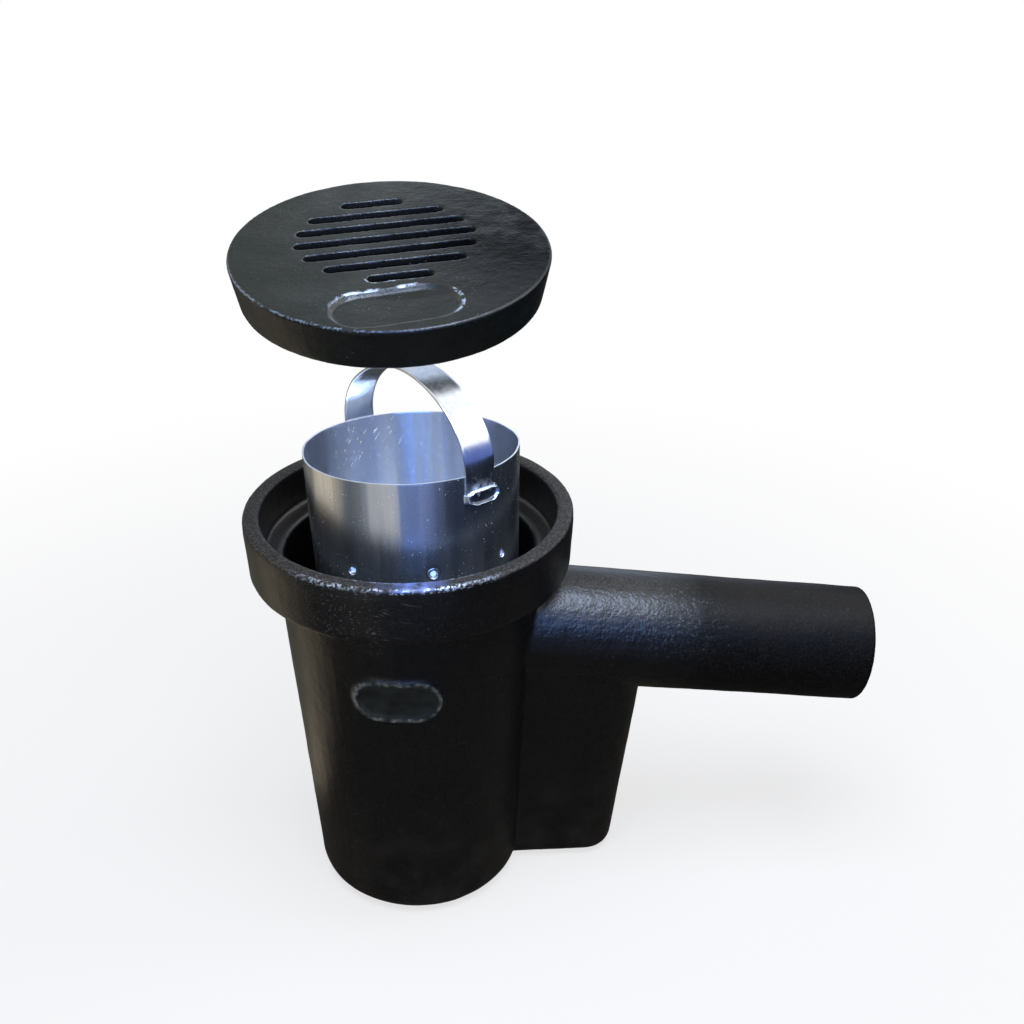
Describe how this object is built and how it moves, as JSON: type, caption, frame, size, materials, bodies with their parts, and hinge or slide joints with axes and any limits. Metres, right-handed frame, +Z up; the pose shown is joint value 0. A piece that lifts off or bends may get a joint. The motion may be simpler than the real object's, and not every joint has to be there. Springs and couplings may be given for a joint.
{
  "type": "gully trap",
  "caption": "Cast iron gully trap with tapered barrel, side leg and outlet pipe, a round grating cover held above it and a strap-handled steel bucket drawn out.",
  "frame": {"origin": "centre of the flat barrel foot, on the barrel axis", "axes": "+Z up along the barrel axis, +X towards the outlet, +Y towards the back"},
  "size_m": [0.5875, 0.2978, 0.6644],
  "materials": {
    "black_cast_iron": "black bituminous coating, satin to glossy, cast surface",
    "sheet_steel": "plain rolled sheet, semi-bright, scratched"
  },
  "bodies": {
    "root": {"trap_body": "black_cast_iron", "grating_cover": "black_cast_iron", "bucket_wall": "sheet_steel", "bucket_base": "sheet_steel", "bucket_handle": "sheet_steel", "handle_weld_front": "sheet_steel", "handle_weld_back": "sheet_steel"}
  },
  "joints": []
}
